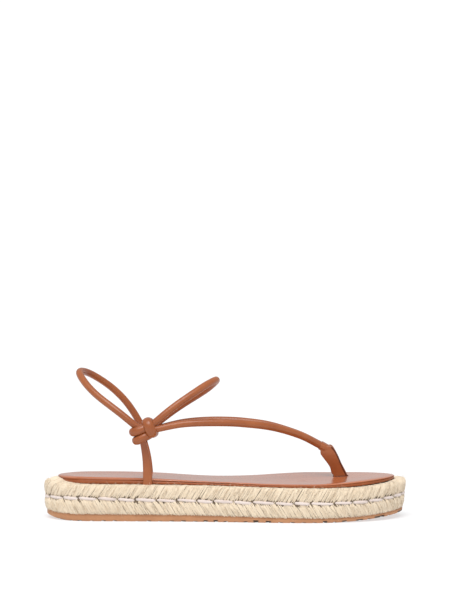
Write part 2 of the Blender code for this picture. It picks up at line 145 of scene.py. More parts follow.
def addPiece(obj, slot, *nodes):
    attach(obj, "root")
    if nodes:
        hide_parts(*nodes)
    obj.data.calc_loop_triangles()
    print(f"{obj.name}: {len(obj.data.loop_triangles)} triangles")


def applyAll(obj):
    graph = bpy.context.evaluated_depsgraph_get()
    graph.update()
    mesh = bpy.data.meshes.new_from_object(obj.evaluated_get(graph))
    obj.modifiers.clear()
    obj.data = mesh
    return obj


def smoothCurve(points, steps, cyclic):
    points = [Vector(p) for p in points]
    count = len(points)
    made = []
    for i in range(count if cyclic else count - 1):
        before = points[i - 1] if cyclic or i else points[0]
        start, end = points[i], points[(i + 1) % count]
        after = points[(i + 2) % count] if cyclic or i + 2 < count else end
        third = (end - start).length / 3.0
        leave = (end - before).normalized() * third
        arrive = (after - start).normalized() * third
        made += interpolate_bezier(start, start + leave, end - arrive, end, steps + 1)[:-1]
    if not cyclic:
        made.append(points[-1])
    return made


def evenOut(points, rounds, cyclic):
    # takes small bends out of a line and leaves its ends
    for _ in range(rounds):
        count = len(points)
        moved = [p.copy() for p in points]
        for i in range(0 if cyclic else 1, count if cyclic else count - 1):
            moved[i] = points[i] * 0.5 + (points[i - 1] + points[(i + 1) % count]) * 0.25
        points = moved
    return points


def nextLoop(bm, ring):
    edges = [bm.edges.get((ring[i - 1], ring[i])) for i in range(len(ring))]
    made = bmesh.ops.extrude_edge_only(bm, edges=edges)["geom"]
    fresh = {v for v in made if isinstance(v, bmesh.types.BMVert)}
    return [next(e.other_vert(v) for e in v.link_edges if e.other_vert(v) in fresh) for v in ring]


def stackLoops(count, places, strip=False):
    # a closed body from loops; each of places gives the point of a loop at i; a strip
    # joins the last loop's two long sides, where one face over it would show a line
    bm = bmesh.new()
    ring = bmesh.ops.create_circle(bm, cap_ends=True, segments=count, radius=1.0)["verts"]
    for i, vertex in enumerate(ring):
        vertex.co = places[0](i)
    for place in places[1:]:
        ring = nextLoop(bm, ring)
        for i, vertex in enumerate(ring):
            vertex.co = place(i)
    around = [bm.edges.get((ring[i], ring[(i + 1) % count])) for i in range(count)]
    if strip:
        bmesh.ops.bridge_loops(bm, edges=around[1:count // 2 - 1] + around[count // 2 + 1:count - 1])
        bmesh.ops.holes_fill(bm, edges=[e for e in bm.edges if e.is_boundary], sides=0)
    else:
        bmesh.ops.edgeloop_fill(bm, edges=around)
    bmesh.ops.recalc_face_normals(bm, faces=bm.faces)
    return bm


@lru_cache
def tubeShape(sides, stations, capped=True):
    # a straight tube with its length from 0 to 1, and a UV map: round it, along it
    bm = bmesh.new()
    bmesh.ops.create_cone(
        bm, cap_ends=capped, segments=sides, radius1=1.0, radius2=1.0, depth=1.0,
        matrix=Matrix.Translation((0.0, 0.0, 0.5)),
    )
    upright = [e for e in bm.edges if abs(e.verts[0].co.z - e.verts[1].co.z) > 0.5]
    bmesh.ops.subdivide_edges(bm, edges=upright, cuts=stations - 2, use_grid_fill=True)
    layer = bm.loops.layers.uv.new("UVMap")
    for face in bm.faces:
        middle = face.calc_center_median()
        turn = atan2(middle.y, middle.x) / (2.0 * pi)
        for loop in face.loops:
            place = loop.vert.co
            around = atan2(place.y, place.x) / (2.0 * pi)
            around += round(turn - around)
            loop[layer].uv = (around, place.z)
    mesh = bpy.data.meshes.new("tube shape")
    bm.to_mesh(mesh)
    bm.free()
    return mesh


def layTube(bm, sides, stations, tone=None, bulge=None, capped=True):
    # bends a straight tube along stations; each is a centre and its two half axes
    first = len(bm.verts)
    bm.from_mesh(tubeShape(sides, len(stations), capped))
    bm.verts.ensure_lookup_table()
    last = len(stations) - 1
    toneLayer = bm.verts.layers.float.get("tone") if tone is not None else None
    for vertex in bm.verts[first:]:
        place = vertex.co.z * last
        centre, across, out = stations[min(max(round(place), 0), last)]
        size = bulge(atan2(vertex.co.y, vertex.co.x), vertex.co.z) if bulge else 1.0
        vertex.co = centre + (across * vertex.co.x + out * vertex.co.y) * size
        if toneLayer:
            vertex[toneLayer] = tone


def squared(angle, power):
    # how far out a rounded square lies at an angle, where a circle lies at 1
    return 1.0 / (abs(cos(angle)) ** power + abs(sin(angle)) ** power) ** (1.0 / power)


def cordStations(points, radius, closed=False, up=(0.0, 0.0, 1.0)):
    # carries the two half axes along the points without twisting them
    points = [Vector(p) for p in points]
    count = len(points)
    ways = []
    for i in range(count):
        before = points[i - 1] if closed or i else points[0]
        after = points[(i + 1) % count] if closed or i + 1 < count else points[-1]
        ways.append((after - before).normalized())
    across = Vector(up).cross(ways[0]).normalized()
    axes = []
    for way in ways:
        across = (across - way * across.dot(way)).normalized()
        axes.append((across, way.cross(across)))
    twist = 0.0
    if closed:
        again = (axes[-1][0] - ways[0] * axes[-1][0].dot(ways[0])).normalized()
        twist = atan2(again.dot(axes[0][1]), again.dot(axes[0][0]))
    made = []
    for i, (point, (across, out)) in enumerate(zip(points, axes)):
        turn = -twist * i / count
        size = radius(i / (count - 1)) if callable(radius) else radius
        made.append((
            point,
            (across * cos(turn) + out * sin(turn)) * size,
            (out * cos(turn) - across * sin(turn)) * size,
        ))
    if closed:
        made.append(made[0])
    return made


# the sole's outline and the heights of its layers
sole = {
    "length": 0.26,
    "heel": 0.066,
    "waist": 0.064,
    "ball": 0.091,
    # round the sole from the heel's end by the outer side: share of the length,
    # share of half the width, which width
    "outline": (
        (0.0, 0.0, "heel"), (0.027, -0.59, "heel"), (0.092, -0.93, "heel"),
        (0.22, -1.01, "heel"), (0.385, -1.11, "waist"), (0.54, -0.89, "ball"),
        (0.675, -1.0, "ball"), (0.79, -0.98, "ball"), (0.885, -0.79, "ball"),
        (0.955, -0.46, "ball"), (0.994, -0.04, "ball"), (0.997, 0.32, "ball"),
        (0.966, 0.68, "ball"), (0.893, 0.92, "ball"), (0.79, 1.0, "ball"),
        (0.69, 0.965, "ball"), (0.58, 0.76, "ball"), (0.46, 0.84, "waist"),
        (0.33, 0.87, "waist"), (0.21, 0.98, "heel"), (0.092, 0.9, "heel"),
        (0.027, 0.57, "heel"),
    ),
    "toeSpring": 0.0042,
    "rubber": 0.005,
    "jute": 0.0207,
    "footbed": 0.0026,
    "insole": 0.0026,
    "gap": 0.0003,
    # share of the length, of the toe spring, of the rubber, footbed and insole
    "profile": (
        (0.0, 0.5, 0.9, 1.0, 1.0), (0.03, 0.2, 0.95, 1.0, 1.0),
        (0.065, 0.0, 1.0, 1.0, 1.0), (0.3, 0.0, 0.96, 0.95, 0.8),
        (0.48, 0.0, 0.86, 0.78, 0.56), (0.62, 0.0, 0.72, 0.66, 0.54),
        (0.76, 0.0, 0.64, 0.6, 0.55), (0.815, 0.07, 0.61, 0.6, 0.53),
        (0.865, 0.22, 0.58, 0.6, 0.52), (0.912, 0.44, 0.55, 0.6, 0.5),
        (0.955, 0.68, 0.52, 0.6, 0.5), (1.0, 1.0, 0.5, 0.6, 0.5),
    ),
    # share of the length, then how thick footbed and insole are at the outer and inner rim
    "tilt": (
        (0.0, 0.98, 0.86), (0.15, 0.96, 0.86), (0.31, 0.88, 0.9), (0.42, 0.76, 0.7),
        (0.48, 0.77, 0.62), (0.56, 0.74, 0.74), (0.65, 0.74, 1.12), (0.75, 0.82, 1.42),
        (0.87, 1.22, 1.34), (0.95, 1.24, 1.02), (1.0, 1.06, 0.82),
    ),
    "rubberInset": 0.0016,
    "spine": (-0.088, 0.088),  # ends of the line along the middle of the sole
    "tiltWidth": 0.07,  # across which the layers go from one rim's thickness to the other's
    "heelEnd": 0.12,  # how far the round ends reach, as shares of the length
    "toeEnd": 0.14,
    "sideRim": 0.0058,
    "heelRim": 0.0095,
    "toeRim": 0.0076,
}


def measure(points):
    # the way along a line to each of its points
    lengths = [0.0]
    for start, end in zip(points, points[1:]):
        lengths.append(lengths[-1] + (end - start).length)
    return lengths


def traceOutline(steps=1260):
    corners = [
        ((along - 0.5) * sole["length"], across * sole[width] / 2.0, 0.0)
        for along, across, width in sole["outline"]
    ]
    fine = smoothCurve(corners, 24, True)
    lengths = measure(fine + fine[:1])
    points, normals, low = [], [], 0
    for step in range(steps):
        distance = lengths[-1] * step / steps
        while lengths[low + 1] < distance:
            low += 1
        share = (distance - lengths[low]) / (lengths[low + 1] - lengths[low])
        start, end = fine[low], fine[(low + 1) % len(fine)]
        points.append(start.lerp(end, share))
        before, after = fine[low - 1], fine[(low + 2) % len(fine)]
        way = (end - before).lerp(after - start, share)
        normals.append(Vector((way.y, -way.x, 0.0)).normalized())
    return points, normals, lengths[-1]


rimPoints, rimNormals, rimLength = traceOutline()


def rimPlace(distance):
    place = distance / rimLength * len(rimPoints)
    low = math.floor(place)
    share = place - low
    low %= len(rimPoints)
    high = (low + 1) % len(rimPoints)
    return rimPoints[low].lerp(rimPoints[high], share), rimNormals[low].lerp(rimNormals[high], share)


def profileAt(x, column, rows=sole["profile"]):
    along = clamp(x / sole["length"] + 0.5)
    for i in range(len(rows) - 1):
        if along <= rows[i + 1][0]:
            break
    span = rows[i + 1][0] - rows[i][0]
    share = (along - rows[i][0]) / span
    before = rows[max(i - 1, 0)]
    after = rows[min(i + 2, len(rows) - 1)]
    low, high = rows[i][column], rows[i + 1][column]
    leave = (high - before[column]) / (rows[i + 1][0] - before[0]) * span
    arrive = (after[column] - low) / (after[0] - rows[i][0]) * span
    s, t = share, 1.0 - share
    bow = (leave * t - arrive * s) * s * t
    return low * t * t * (1 + 2 * s) + high * s * s * (1 + 2 * t) + bow


def groundLift(x):
    return sole["toeSpring"] * max(0.0, profileAt(x, 1))


def juteFoot(x):
    return groundLift(x) + sole["rubber"] * profileAt(x, 2) + sole["gap"]


def footbedFoot(x):
    return juteFoot(x) + sole["jute"] + sole["gap"]


def insoleTop(x):
    footbed, insole = (sole[name] * profileAt(x, k) for name, k in (("footbed", 3), ("insole", 4)))
    return footbedFoot(x) + footbed + sole["gap"] + insole


def layerLevel(point, level):
    # heights over one spot: 0 the footbed's foot, 1 its top, 2 the insole's top
    x = point.x
    side = clamp(0.5 + point.y / sole["tiltWidth"])
    side = side * side * (3.0 - 2.0 * side)
    thick = blend(profileAt(x, 1, sole["tilt"]), profileAt(x, 2, sole["tilt"]), side)
    height = footbedFoot(x)
    if level > 0:
        height += sole["gap"] + sole["footbed"] * profileAt(x, 3) * thick
    if level > 1:
        height += sole["insole"] * profileAt(x, 4) * thick
    return height


def endShares(x):
    along = x / sole["length"] + 0.5
    heel = max(0.0, 1.0 - along / sole["heelEnd"]) ** 2
    toe = max(0.0, 1.0 - (1.0 - along) / sole["toeEnd"]) ** 2
    return heel, toe


def endRim(x):
    heel, toe = endShares(x)
    side = sole["sideRim"]
    return side + (sole["heelRim"] - side) * heel + (sole["toeRim"] - side) * toe


def innerPoint(distance, inset, share):
    # share 0 is the inset outline, 1 lies on a line along the middle of the sole
    point, normal = rimPlace(distance)
    edge = point - normal * inset
    low, high = sole["spine"]
    x = min(max(edge.x, low), high)
    middle = Vector((x, 0.004 if x > 0.0 else 0.004 + x * 0.03, 0.0))
    return edge.lerp(middle, share)


# finishes, worked out from the place on the piece
def newFinish(name):
    finish = bpy.data.materials.new(name)
    finish.use_nodes = True
    return finish, finish.node_tree, finish.node_tree.nodes["Principled BSDF"]


def connect(tree, node, links):
    # links a socket, sets any other value
    for socket, source in links.items():
        if isinstance(source, bpy.types.NodeSocket):
            tree.links.new(source, node.inputs[socket])
        else:
            node.inputs[socket].default_value = source


def addNode(tree, kind, links=None, **settings):
    node = tree.nodes.new("ShaderNode" + kind)
    for key, value in settings.items():
        setattr(node, key, value)
    connect(tree, node, links or {})
    return node


def ramp(tree, source, *stops):
    node = addNode(tree, "ValToRGB", {"Fac": source})
    marks = node.color_ramp.elements
    while len(marks) < len(stops):
        marks.new(0.5)
    for mark, (place, colour) in zip(marks, stops):
        mark.position = place
        mark.color = (*colour, 1.0)
    return node.outputs["Color"]


def cloudiness(tree, where, scale, detail, roughness=0.5):
    links = {"Vector": where, "Scale": scale, "Detail": detail, "Roughness": roughness}
    return addNode(tree, "TexNoise", links).outputs["Fac"]


def bumps(tree, height, strength, distance, **more):
    links = {"Height": height, "Strength": strength, "Distance": distance, **more}
    return addNode(tree, "Bump", links).outputs["Normal"]


def makeLeather(name, base, shade, light, roughness, grain, gloss=0.4, coat=0.0):
    finish, tree, shader = newFinish(name)
    where = addNode(tree, "TexCoord").outputs["Object"]
    cloud = cloudiness(tree, where, 38.0, 5.0, 0.6)
    pores = addNode(
        tree, "TexVoronoi", {"Vector": where, "Scale": 1150.0, "Randomness": 1.0}, feature="SMOOTH_F1",
    )
    rough = addNode(tree, "MapRange", {
        "Value": cloud, "From Min": 0.3, "From Max": 0.75,
        "To Min": roughness * 0.88, "To Max": roughness * 1.2,
    })
    relief = bumps(tree, pores.outputs["Distance"], grain, 0.00012)
    fine = cloudiness(tree, where, 2600.0, 3.0)
    connect(tree, shader, {
        "Base Color": ramp(tree, cloud, (0.3, shade), (0.52, base), (0.78, light)),
        "Roughness": rough.outputs["Result"], "Specular IOR Level": gloss,
        "Normal": bumps(tree, fine, grain * 0.7, 0.00006, Normal=relief),
        "Coat Weight": coat, "Coat Roughness": 0.22,
    })
    return finish


def makeJute(name, streak, *stops):
    finish, tree, shader = newFinish(name)
    tone = addNode(tree, "Attribute", attribute_name="tone").outputs["Fac"]
    uv = addNode(tree, "UVMap", uv_map="UVMap").outputs["UV"]
    where = addNode(tree, "TexCoord").outputs["Object"]
    slim = addNode(tree, "Mapping", {"Vector": uv, "Scale": streak}).outputs["Vector"]
    offset = addNode(tree, "VectorMath", {0: where, 1: (37.0, 37.0, 37.0)}, operation="MULTIPLY")
    both = addNode(tree, "VectorMath", {0: slim, 1: offset.outputs["Vector"]}, operation="ADD")
    lines = cloudiness(tree, both.outputs["Vector"], 1.0, 4.0, 0.65)
    patch = cloudiness(tree, where, 90.0, 3.0)
    mix = addNode(tree, "Math", {0: lines, 1: tone}, operation="ADD").outputs["Value"]
    mixed = addNode(tree, "Math", {0: patch, 1: 0.35, 2: mix}, operation="MULTIPLY_ADD")
    span = {"Value": mixed.outputs["Value"], "From Min": 0.55, "From Max": 1.75}
    value = addNode(tree, "MapRange", span)
    connect(tree, shader, {
        "Base Color": ramp(tree, value.outputs["Result"], *stops),
        "Normal": bumps(tree, lines, 0.7, 0.00025),
        "Roughness": 0.78, "Specular IOR Level": 0.35, "Sheen Weight": 0.25, "Sheen Roughness": 0.5,
    })
    return finish


def makeRubber(name, *stops):
    finish, tree, shader = newFinish(name)
    where = addNode(tree, "TexCoord").outputs["Object"]
    connect(tree, shader, {
        "Base Color": ramp(tree, cloudiness(tree, where, 55.0, 6.0, 0.7), *stops),
        "Normal": bumps(tree, cloudiness(tree, where, 1400.0, 2.0), 0.5, 0.0001),
        "Roughness": 0.62, "Specular IOR Level": 0.4,
    })
    return finish


# leather: base, shade and light colour, roughness, grain, gloss and coat
finishes = {
    "upper": makeLeather(
        "tan leather cord", (0.345, 0.096, 0.025), (0.28, 0.07, 0.017), (0.41, 0.124, 0.035),
        0.36, 0.35, 0.52,
    ),
    "footbed": makeLeather(
        "tan leather edge", (0.36, 0.1, 0.03), (0.29, 0.074, 0.02), (0.43, 0.128, 0.042), 0.38, 0.3,
    ),
    # a lighter copy of the footbed's leather for the insole's top: painted light on the lit top
    "insole": makeLeather(
        "tan leather insole lit top copy", (0.5, 0.16, 0.065), (0.46, 0.143, 0.056), (0.54, 0.177, 0.075),
        0.17, 0.1, 0.8, 0.22,
    ),
    # the leather's edge paint, also used for the slot's rim round the tab's foot as painted shade
    "edge": makeLeather(
        "leather edge paint and painted slot shade", (0.125, 0.036, 0.019), (0.09, 0.027, 0.014), (0.16, 0.047, 0.025),
        0.5, 0.2, 0.18,
    ),
    "jute": makeJute(
        "jute fibre", (9.0, 1.6, 1.0), (0.0, (0.3, 0.215, 0.13)), (0.2, (0.66, 0.515, 0.36)),
        (0.42, (0.825, 0.69, 0.518)), (0.85, (0.9, 0.775, 0.598)),
    ),
    # the core is coloured dark as painted shade, for the gaps between and under the strands
    "core": makeJute(
        "dark jute core painted shade", (9.0, 1.6, 1.0), (0.0, (0.14, 0.1, 0.062)), (0.6, (0.29, 0.215, 0.14)),
        (1.0, (0.45, 0.34, 0.22)),
    ),
    "thread": makeJute(
        "cotton thread", (5.0, 3.0, 1.0), (0.0, (0.46, 0.36, 0.32)), (0.45, (0.73, 0.625, 0.57)),
        (1.0, (0.84, 0.75, 0.7)),
    ),
    "rubber": makeRubber(
        "tan rubber", (0.3, (0.44, 0.205, 0.098)), (0.55, (0.51, 0.246, 0.12)),
        (0.8, (0.58, 0.3, 0.152)),
    ),
    # dark finish for the tread grooves' faces: painted shade in the grooves
    "tread": makeRubber("tread grooves painted shade", (0.3, (0.12, 0.082, 0.058)), (0.8, (0.25, 0.165, 0.11))),
}
print("finishes ready")

makeStudio()


# the rubber outsole and its tread
outsole = {
    "steps": 420,
    "treadPitch": 0.0079,
    "treadGap": 0.003,
    "treadDepth": 0.0018,
    "treadWave": 0.0022,
    "treadWaves": 9,
    "treadReach": 0.052,  # from the middle to either side
    "heelTread": (-0.035, 0.45),  # behind the first, the second is its share of the depth
}


def outsolePoint(distance, inset, share):
    point, normal = rimPlace(distance)
    heel, toe = endShares(point.x)
    low = max(0.0, 1.0 - share / 0.35)
    point = point - normal * (sole["rubberInset"] + inset + (0.0024 * heel + 0.0006 * toe) * low * low)
    foot = groundLift(point.x) + 0.0004 * heel * low
    point.z = foot + (juteFoot(point.x) - foot) * share
    return point


def makeOutsole():
    steps = outsole["steps"]
    sides = (
        (0.0, 0.0007), (0.05, 0.0003), (0.13, 0.0001), (0.3, 0.0), (0.66, 0.0), (0.7, 0.00018),
        (0.76, 0.00018), (0.8, 0.0), (0.99, 0.0002),
    )

    def sideAt(share, inset):
        return lambda i: outsolePoint(rimLength * i / steps, inset, share)

    def flatAt(share, top):
        def place(i):
            distance = rimLength * i / steps
            point = innerPoint(distance, sole["rubberInset"] + (0.0012 if top else 0.0034), share)
            point.z = juteFoot(point.x) - 0.0002 if top else groundLift(point.x)
            return point
        return place

    shares = (0.985, 0.72, 0.45, 0.22, 0.06, 0.0)
    places = [flatAt(share, False) for share in shares]
    places += [sideAt(*row) for row in sides]
    places += [flatAt(share, True) for share in shares[::-1]]
    body = meshObject(stackLoops(steps, places), "outsoleRubber", "rubber")
    cutter = meshObject(treadBars(), "tread bars", "tread", False)
    cut = body.modifiers.new("tread", "BOOLEAN")
    # the cut faces take the cutter's dark finish, painted shade in the grooves
    cut.material_mode = "TRANSFER"
    cut.operation = "DIFFERENCE"
    cut.solver = "EXACT"
    cut.object = cutter
    applyAll(body)
    bpy.data.objects.remove(cutter)
    body.data.shade_smooth()
    body.data.set_sharp_from_angle(angle=radians(40.0))
    return body


def treadBars():
    # zigzag bars that lie across the sole, to cut the tread's grooves and give their faces the dark
    # painted shade finish
    bm = bmesh.new()
    pitch, reach, waves = outsole["treadPitch"], outsole["treadReach"], outsole["treadWaves"]
    heelEnd, heelShare = outsole["heelTread"]
    for k in range(int(sole["length"] / pitch) + 1):
        middle = -sole["length"] / 2.0 + pitch * (k + 0.5)
        share = between(0.25, 1.0) * (heelShare if middle < heelEnd else 1.0)
        half = outsole["treadGap"] / 2.0 * (0.85 + 0.3 * share)
        bar = bmesh.ops.create_grid(bm, x_segments=1, y_segments=waves * 4, size=1.0)["verts"]
        for vertex in bar:
            y = vertex.co.y * reach
            turn = y / (2.0 * reach) * waves
            wave = (abs((turn % 1.0) - 0.5) * 4.0 - 1.0) * outsole["treadWave"]
            x = middle + wave + vertex.co.x * half
            vertex.co = (x, y, groundLift(x) + outsole["treadDepth"] * share)
        faces = {face for vertex in bar for face in vertex.link_faces}
        grown = bmesh.ops.extrude_face_region(bm, geom=list(faces))["geom"]
        low = [part for part in grown if isinstance(part, bmesh.types.BMVert)]
        bmesh.ops.translate(bm, vec=(0.0, 0.0, -0.006), verts=low)
    bmesh.ops.recalc_face_normals(bm, faces=bm.faces)
    return bm


# the jute platform: a core under two rows of leaning strands, coloured dark as painted shade for the
# gaps between and beside the strands
jute = {
    "bundles": 84,  # strips round the sole, in each of the two rows
    "strands": 8,  # in a strip
    "lean": 0.6,
    "strandDepth": 0.0004,
    "overlap": 1.24,
    "dip": 0.0002,  # how far a strip's edges lie in
    "wave": 0.00022,  # how far a strand strays sideways
    "wisps": 1500,  # fine fibres lying on each row
    "darkWisps": 0.16,
    "earlyShare": (0.55, 0.72),  # of the upper and lower row's strands, to the groove
    "lateStart": (0.0019, 0.0034),  # of the others, which leaves pits beside the thread where the dark core shows as painted shade
    "notch": (0.0026, 0.004),  # where strands begin between two stitches
    "heelCrown": 0.0013,
    "heelDrop": 0.0014,  # of the upper row's outer corner
    "heelRise": 0.0034,  # of the upper row up to the leather
    # share of the length, rise of the groove in millimetres
    "groove": (
        (0.0, -1.3), (0.03, -0.15), (0.06, 0.85), (0.11, 1.0), (0.18, 0.55), (0.24, 0.2),
        (0.32, 0.0), (1.0, 0.0),
    ),
    "toeCrown": 0.0,
    "toeCrownRamp": (0.078, 0.022),  # where it begins, and over what length
    "sideCrown": 0.0005,
    "coreInset": 0.0004,
    "steps": 420,
}

stitch = {
    "count": 43,
    "gap": 0.0001,  # between two stitches
    "uneven": 0.12,  # how far a junction strays, as a share of a stitch
    "height": 0.0023,
    "depth": 0.0016,
    "inset": 0.0003,
    "slant": 0.0008,  # how far each drops along its length
    "level": 0.01035,  # over the platform's foot
    "plies": 3,
    "plyDepth": 0.085,
    "twist": 2.6,  # turns of the plies in one stitch
    "stations": 19,
}

joints = [
    rimLength / stitch["count"] * (k + between(-1.0, 1.0) * stitch["uneven"])
    for k in range(stitch["count"])
]

# sections, from the groove outwards: inset from the outline, height over the
# platform's foot; the upper row ends under the footbed, the lower on the rubber
upperSection = (
    (0.0019, 0.01042), (0.0009, 0.0107), (0.0003, 0.0117), (0.0, 0.0138),
    (0.0, 0.0168), (0.0003, 0.019), (0.0014, 0.0204), (0.0034, 0.0207),
)
lowerSection = (
    (0.0019, 0.01028), (0.0009, 0.01), (0.0003, 0.009), (0.0, 0.0068),
    (0.0002, 0.004), (0.0005, 0.0018), (0.001, 0.0003), (0.0016, -0.0005),
)


def sectionCurve(rows):
    fine = smoothCurve([(a, b, 0.0) for a, b in rows], 8, False)
    return fine, measure(fine)


def sectionAt(curve, distance):
    fine, lengths = curve
    low = 0
    while low < len(fine) - 2 and lengths[low + 1] < distance:
        low += 1
    share = (distance - lengths[low]) / (lengths[low + 1] - lengths[low])
    return fine[low].lerp(fine[low + 1], share)


def crownAt(x):
    heel, side = endShares(x)[0], jute["sideCrown"]
    start, run = jute["toeCrownRamp"]
    toe = clamp((x - start) / run)
    return side + (jute["heelCrown"] - side) * heel + (jute["toeCrown"] - side) * toe


def jutePoint(distance, inset, height):
    point, normal = rimPlace(distance)
    rim = max(0.0, (height - 0.0165) / 0.0042)
    x = point.x
    heel, toe = endShares(x)
    side = (height - 0.01) / 0.01
    inset -= (0.0004 * heel + 0.0009 * toe) * max(side, 0.0) + 0.0008 * toe * min(side, 0.0)
    point = point - normal * inset
    groove = max(0.0, 1.0 - abs(height - 0.0104) / 0.0075)
    point.z = juteFoot(x) + height + crownAt(x) * rim * rim
    point.z -= jute["heelDrop"] * heel * min(1.0, rim * 1.6)
    point.z += profileAt(x, 1, jute["groove"]) / 1000.0 * groove
    return point


def strandStations(
    curve, start, upper, count, width, depth, lift, begin, seed, taper, end=None, tilt=0.0,
):
    # from beside the groove over the row and, in the upper row, in under the footbed
    lipInset, lipLevel = upperSection[-1]
    reach = curve[1][-1]
    x = rimPlace(start)[0].x
    heel = endShares(x)[0]
    inner = max(0.0, endRim(x) + 0.001 - 0.0012 * heel - lipInset) if upper else 0.0
    total = end or reach + inner
    lean = jute["lean"] + tilt

    def centre(distance, aside=0.0):
        along = start + aside + jute["lean"] * begin + lean * (min(distance, reach) - begin)
        along += 0.25 * lean * max(0.0, distance - reach)
        along += jute["wave"] * noise.noise(Vector((distance * 260.0, seed, 0.0)))
        if distance <= reach:
            place = sectionAt(curve, max(distance, 0.0))
            return jutePoint(along, place.x, place.y)
        over = distance - reach
        share = over / max(inner, 1e-6)
        place = jutePoint(along, lipInset + over, lipLevel - 0.0005 * share ** 2)
        place.z += jute["heelRise"] * heel * share
        return place

    made = []
    step = (total - begin) / (count - 1)
    for i in range(count):
        distance = begin + step * i
        here = centre(distance)
        ahead, behind = min(distance + 0.0004, total), max(distance - 0.0004, begin - 0.0002)
        way = (centre(ahead) - centre(behind)).normalized()
        side = centre(distance, 0.0008) - centre(distance, -0.0008)
        pitch = side.length / 0.0016
        side = (side - way * side.dot(way)).normalized()
        out = side.cross(way)
        _, normal = rimPlace(start + jute["lean"] * distance)
        if out.dot(normal + Vector((0.0, 0.0, 0.6 if upper else -0.6))) < 0.0:
            out = -out
        full = sin(pi * min(1.0, 0.1 + i / (count - 1) * taper)) ** 0.55
        swell = 0.35 + 0.65 * full
        half = width * pitch * 0.5 * swell
        made.append((here + out * lift, side * half, out * (depth * (0.75 + 0.25 * swell))))
    return made


def nearestJoint(distance):
    # how far a place on the rim lies beyond the nearest junction of two stitches
    half = rimLength / 2.0
    return min(((distance - joint + half) % rimLength - half for joint in joints), key=abs)


def makeStrands(name, rows, upper):
    curve = sectionCurve(rows)
    count = 13 if upper else 10
    bm = layered(True)
    perStrip = jute["strands"]
    total = jute["bundles"] * perStrip
    pitch = rimLength / total
    depth = jute["strandDepth"]
    slant = cos(math.atan(jute["lean"]))
    early = jute["earlyShare"][0 if upper else 1]
    for k in range(total):
        inStrip = abs((k % perStrip + 0.5) / perStrip * 2.0 - 1.0)
        if k % perStrip == 0:
            stripTone = random.gauss(0.0, 0.025)
        start = pitch * (k + 0.5 + between(-0.2, 0.2))
        lift = -depth * 0.55 - jute["dip"] * inStrip ** 2.2 + between(-0.00012, 0.00014)
        width = pitch * slant * jute["overlap"] * between(0.84, 1.14)
        # strands darken towards their strip's edges, where the strips dip in: painted shade between
        # strips
        tone = 0.54 + stripTone + random.gauss(0.0, 0.04) - 0.05 * inStrip ** 3
        if random.random() < 0.03:
            tone -= between(0.06, 0.16)
        begin = between(0.0, 0.0012) if random.random() < early else between(*jute["lateStart"])
        aside = nearestJoint(start)
        if abs(aside) < pitch * 0.55:
            begin = between(*jute["notch"])
        elif abs(aside) < pitch * 2.2:
            start += math.copysign(pitch * 0.14, aside)
        stations = strandStations(
            curve, start, upper, count, width=width, depth=depth, lift=lift, begin=begin,
            seed=k * 7.3, taper=0.8 if upper else 0.76,
            end=None if upper else curve[1][-1] * between(0.93, 1.0),
        )
        layTube(bm, 6, stations, tone)
    return closedObject(bm, name, "jute")


def makeWisps(name, rows, upper):
    curve = sectionCurve(rows)
    bm = layered(True)
    reach = curve[1][-1]
    for k in range(jute["wisps"]):
        length = between(0.0022, 0.006)
        begin = between(0.0014, reach - length * 0.8)
        end = min(begin + length, reach - 0.0001)
        dark = random.random() < jute["darkWisps"]
        thick = between(0.00007, 0.00013)
        stations = strandStations(
            curve, between(0.0, rimLength), upper, 6, width=thick * 2.0, depth=thick,
            lift=between(0.00005, 0.00022), begin=begin, end=end, tilt=random.gauss(0.0, 0.2),
            seed=k * 3.1, taper=0.8,
        )
        layTube(bm, 3, stations, between(0.05, 0.36) if dark else between(0.5, 0.75))
    return closedObject(bm, name, "jute")


def makeJuteCore():
    inset = jute["coreInset"]
    lower = [(a + inset, max(b, 0.0) + 0.0001) for a, b in lowerSection[::-1]]
    upper = [(a + inset, b - 0.0004) for a, b in upperSection[1:]]
    lower[-1] = (lower[-1][0] + 0.0006, lower[-1][1])

    def sideAt(row):
        return lambda i: jutePoint(rimLength * i / jute["steps"], *row)

    def lidAt(i):
        point, normal = rimPlace(rimLength * i / jute["steps"])
        x = point.x
        point = point - normal * (endRim(x) + 0.003)
        point.z = juteFoot(x) + 0.0195
        return point

    bm = stackLoops(jute["steps"], [sideAt(row) for row in lower + upper] + [lidAt])
    return meshObject(layered(True, bm), "juteCore", "core")


# the thread sewn round the groove between the two rows
def makeStitches():
    bm = layered(True)
    count, height, depth = (stitch[name] for name in ("stations", "height", "depth"))

    def plies(angle, share):
        turn = 2.0 * pi * stitch["twist"] / stitch["plies"] * share
        return 1.0 + stitch["plyDepth"] * cos(stitch["plies"] * (angle - turn))

    for joint, following in zip(joints, joints[1:] + [joints[0] + rimLength]):
        start = joint + stitch["gap"] / 2.0
        run = following - joint - stitch["gap"]
        wobble = between(-0.0003, 0.0003)
        fullness = between(0.86, 1.06)
        stations = []
        for i in range(count):
            share = i / (count - 1)
            bow = sin(pi * share) ** 0.34
            inset = stitch["inset"] + 0.0018 * (1.0 - bow)
            drop = stitch["slant"] * (0.5 - share) + wobble
            here = jutePoint(start + run * share, inset, stitch["level"] + drop)
            _, normal = rimPlace(start + run * share)
            half = (0.5 + 0.5 * bow) * fullness / 2.0
            stations.append((here, Vector((0.0, 0.0, height * half)), normal * (depth * half)))
        layTube(bm, 14, stations, 0.5 + random.gauss(0.0, 0.08), plies)
    return closedObject(bm, "seamStitches", "thread")


# fibres that stand out from the jute
fuzz = {"rim": 1500, "side": 500, "thickness": 0.00009}


